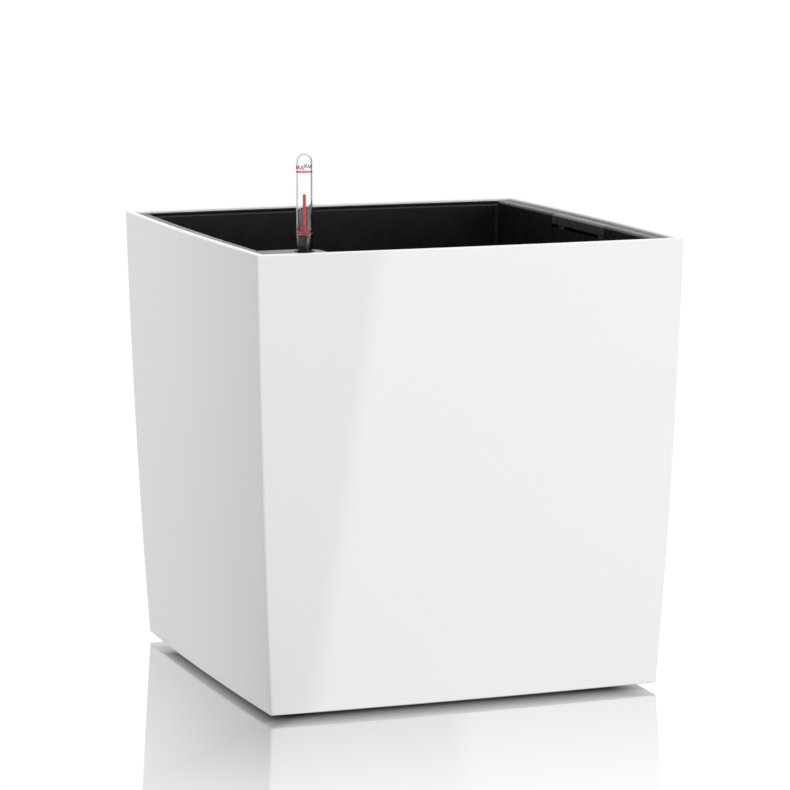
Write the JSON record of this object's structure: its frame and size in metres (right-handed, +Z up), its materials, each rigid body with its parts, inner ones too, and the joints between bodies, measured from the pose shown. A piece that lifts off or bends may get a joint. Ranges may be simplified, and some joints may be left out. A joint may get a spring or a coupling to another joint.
{
  "type": "self watering planter",
  "caption": "Square tapered floor planter with a lift-out liner, a water reservoir below it, retractable handles and a float level indicator in one corner.",
  "frame": {"origin": "middle of the footprint, on the floor that the foot pads stand on", "axes": "+Z up; the handles are on the -X and +X sides and the level indicator is in the -X -Y corner"},
  "size_m": [0.4024, 0.4024, 0.4882],
  "materials": {
    "gloss_white": "high gloss white",
    "liner_black": "satin black",
    "inner_grey": "satin dark grey",
    "pad_rubber": "matt black",
    "tube_clear": "clear, polished",
    "signal_red": "gloss red",
    "float_foam": "closed-cell foam"
  },
  "bodies": {
    "planter": {"planter_shell": "gloss_white", "foot_pad_front_left": "pad_rubber", "foot_pad_front_right": "pad_rubber", "foot_pad_back_left": "pad_rubber", "foot_pad_back_right": "pad_rubber"},
    "seal": {"drain_seal": "pad_rubber"},
    "plug": {"drain_plug": "inner_grey"},
    "pot": {"liner": "liner_black"},
    "left_handle": {"handle_left": "liner_black"},
    "right_handle": {"handle_right": "liner_black"},
    "separator": {"separator_plate": "inner_grey", "wick_basket_front_left": "inner_grey", "wick_basket_front_right": "inner_grey", "wick_basket_back_left": "inner_grey", "wick_basket_back_right": "inner_grey"},
    "shaft": {"supply_shaft": "liner_black", "shaft_foot": "liner_black"},
    "cap": {"shaft_cap": "liner_black"},
    "indicator": {"indicator_foot": "liner_black", "indicator_sleeve": "liner_black", "indicator_tube": "tube_clear", "rod_guide": "liner_black"},
    "level": {"indicator_float": "float_foam", "indicator_rod": "signal_red"}
  },
  "joints": [
    {"name": "pot_lift", "type": "slide", "parent": "planter", "child": "pot", "axis": [0, 0, 1], "range_m": [0, 0.41]},
    {"name": "left_handle_pull", "type": "slide", "parent": "pot", "child": "left_handle", "axis": [0, 0, 1], "range_m": [0, 0.06]},
    {"name": "right_handle_pull", "type": "slide", "parent": "pot", "child": "right_handle", "axis": [0, 0, 1], "range_m": [0, 0.06]},
    {"name": "separator_lift", "type": "slide", "parent": "pot", "child": "separator", "axis": [0, 0, 1], "range_m": [0, 0.41]},
    {"name": "shaft_lift", "type": "slide", "parent": "pot", "child": "shaft", "axis": [0, 0, 1], "range_m": [0, 0.41]},
    {"name": "cap_lift", "type": "slide", "parent": "shaft", "child": "cap", "axis": [0, 0, 1], "range_m": [0, 0.1]},
    {"name": "indicator_lift", "type": "slide", "parent": "shaft", "child": "indicator", "axis": [0, 0, 1], "range_m": [0, 0.4]},
    {"name": "water_level", "type": "slide", "parent": "indicator", "child": "level", "axis": [0, 0, 1], "range_m": [-0.037, 0.033]},
    {"name": "plug_rise", "type": "slide", "parent": "planter", "child": "seal", "axis": [0, 0, 1], "range_m": [0, 0.014]},
    {"name": "plug_turn", "type": "hinge", "parent": "seal", "child": "plug", "pos_m": [0, 0, 0.0867], "axis": [0, 0, 1], "range_deg": [0, 1261]}
  ],
  "couplings": [
    {"joint": "plug_turn", "follows": "plug_rise", "rad_per_m": 1570.8}
  ]
}
